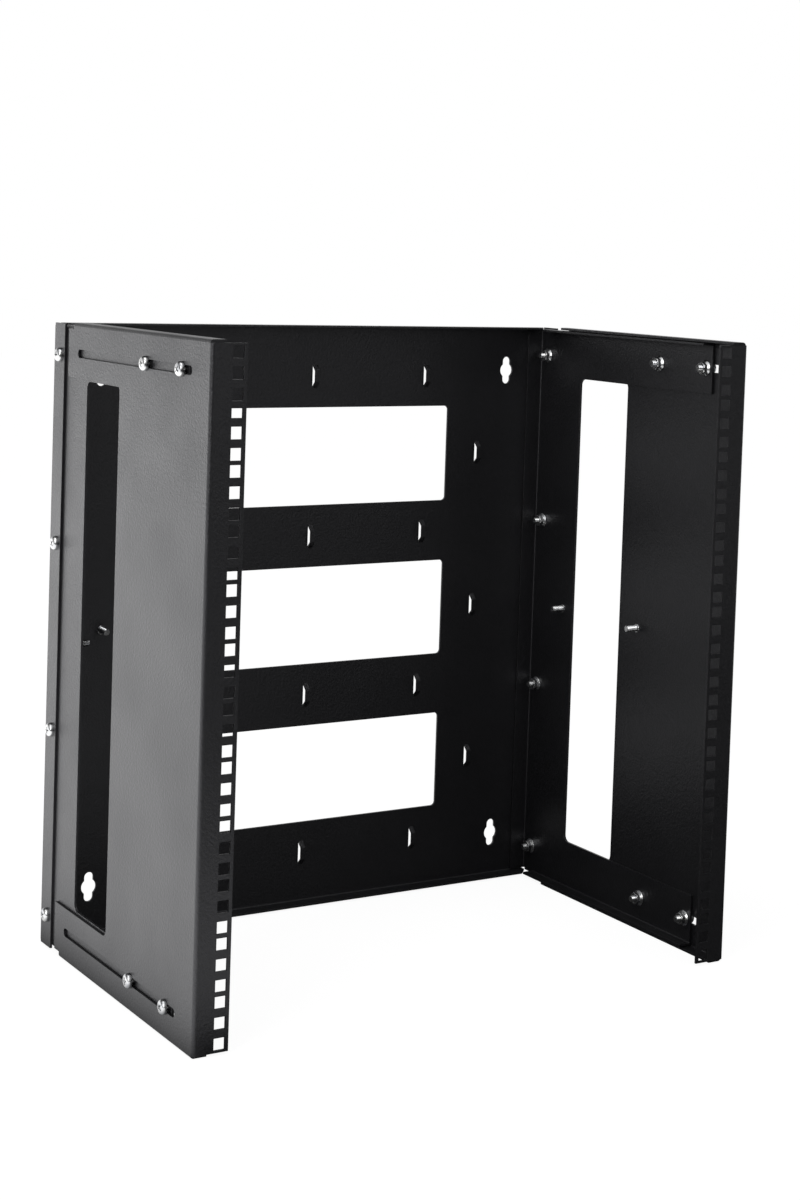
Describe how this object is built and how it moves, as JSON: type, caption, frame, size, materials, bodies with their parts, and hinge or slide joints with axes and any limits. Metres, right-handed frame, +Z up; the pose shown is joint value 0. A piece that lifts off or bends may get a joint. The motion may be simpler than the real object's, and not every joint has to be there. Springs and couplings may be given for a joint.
{
  "type": "wall mount rack bracket",
  "caption": "Open wall mount bracket for 19-inch rack equipment, a flat back panel with folded arms and side panels that slide to set the depth.",
  "frame": {"origin": "centre of the four wall keyholes, on the plane of the wall behind the back panel", "axes": "+Z up, +Y into the wall, +X to the right for someone who stands in front of the bracket"},
  "size_m": [0.5188, 0.303, 0.5386],
  "materials": {
    "powder_coat": "black fine-texture powder coat, satin",
    "zinc": "bright zinc plating"
  },
  "bodies": {
    "wall_frame": {"back_panel": "powder_coat", "left_arm_frame": "powder_coat", "right_arm_frame": "powder_coat", "back_ground_stud": "zinc", "left_arm_ground_stud": "zinc", "right_arm_ground_stud": "zinc", "left_back_screws": "zinc", "right_back_screws": "zinc", "left_back_nuts": "zinc", "right_back_nuts": "zinc", "left_upper_depth_bolts": "zinc", "left_upper_depth_nuts": "zinc", "left_lower_depth_bolts": "zinc", "left_lower_depth_nuts": "zinc", "right_upper_depth_bolts": "zinc", "right_upper_depth_nuts": "zinc", "right_lower_depth_bolts": "zinc", "right_lower_depth_nuts": "zinc"},
    "left_side": {"left_side_panel": "powder_coat", "left_panel_ground_stud": "zinc"},
    "right_side": {"right_side_panel": "powder_coat", "right_panel_ground_stud": "zinc"}
  },
  "joints": [
    {"name": "left_depth_slide", "type": "slide", "parent": "wall_frame", "child": "left_side", "axis": [0, -1, 0], "range_m": [-0.009, 0.13]},
    {"name": "right_depth_slide", "type": "slide", "parent": "wall_frame", "child": "right_side", "axis": [0, -1, 0], "range_m": [-0.009, 0.13]}
  ]
}
